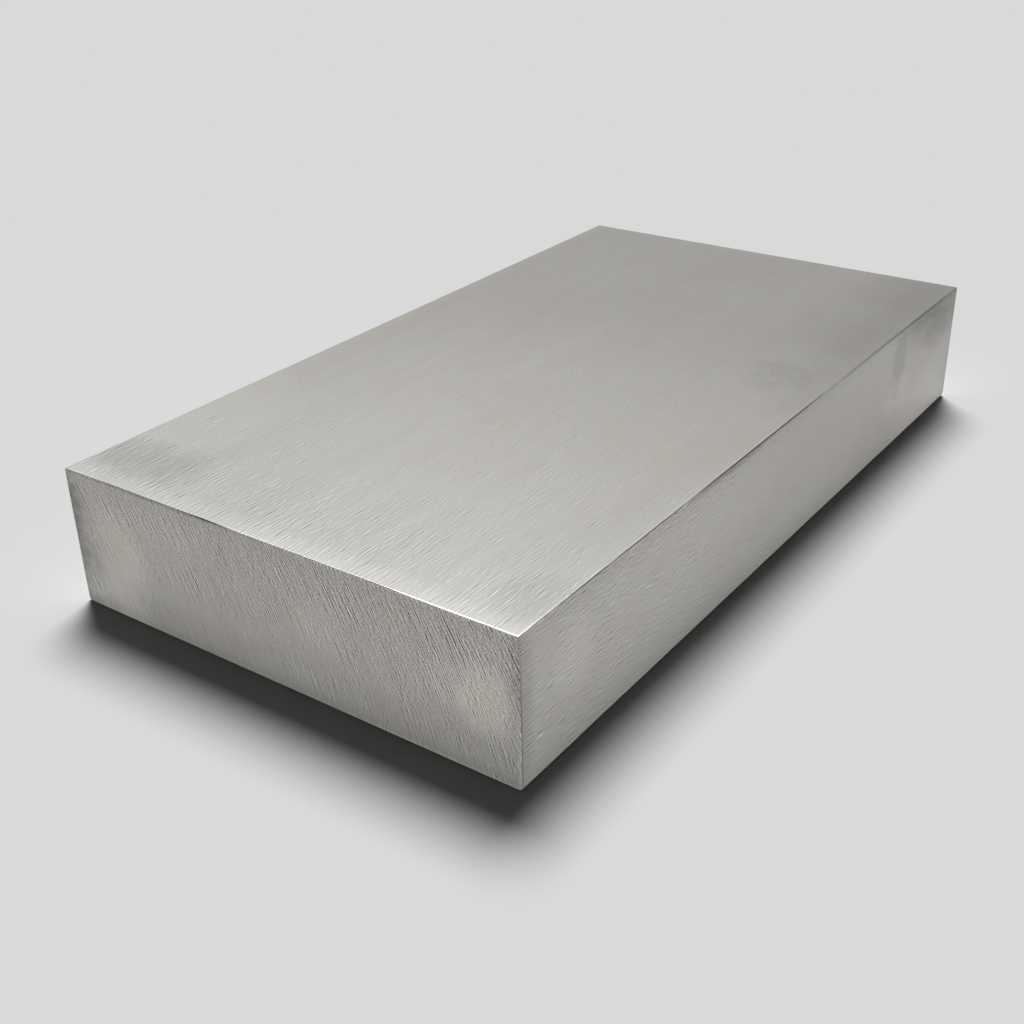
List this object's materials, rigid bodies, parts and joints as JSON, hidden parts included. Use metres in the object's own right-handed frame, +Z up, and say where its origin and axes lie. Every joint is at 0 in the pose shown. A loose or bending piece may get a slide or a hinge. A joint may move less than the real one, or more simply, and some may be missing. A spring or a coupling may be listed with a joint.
{
  "type": "aluminum plate",
  "caption": "Thick rectangular aluminum plate sawn to length: brushed flat faces, saw-marked ends and finely broken edges. Raw stock for machining.",
  "frame": {"origin": "middle of the underside, which lies on the floor", "axes": "+X across the width, +Y along the length from the front sawn end to the back one, +Z up through the thickness"},
  "size_m": [0.09, 0.162, 0.025],
  "materials": {
    "aluminum": "mill finish brushed along the length, sawn across the ends"
  },
  "bodies": {
    "root": {"plate": "aluminum"}
  },
  "joints": []
}
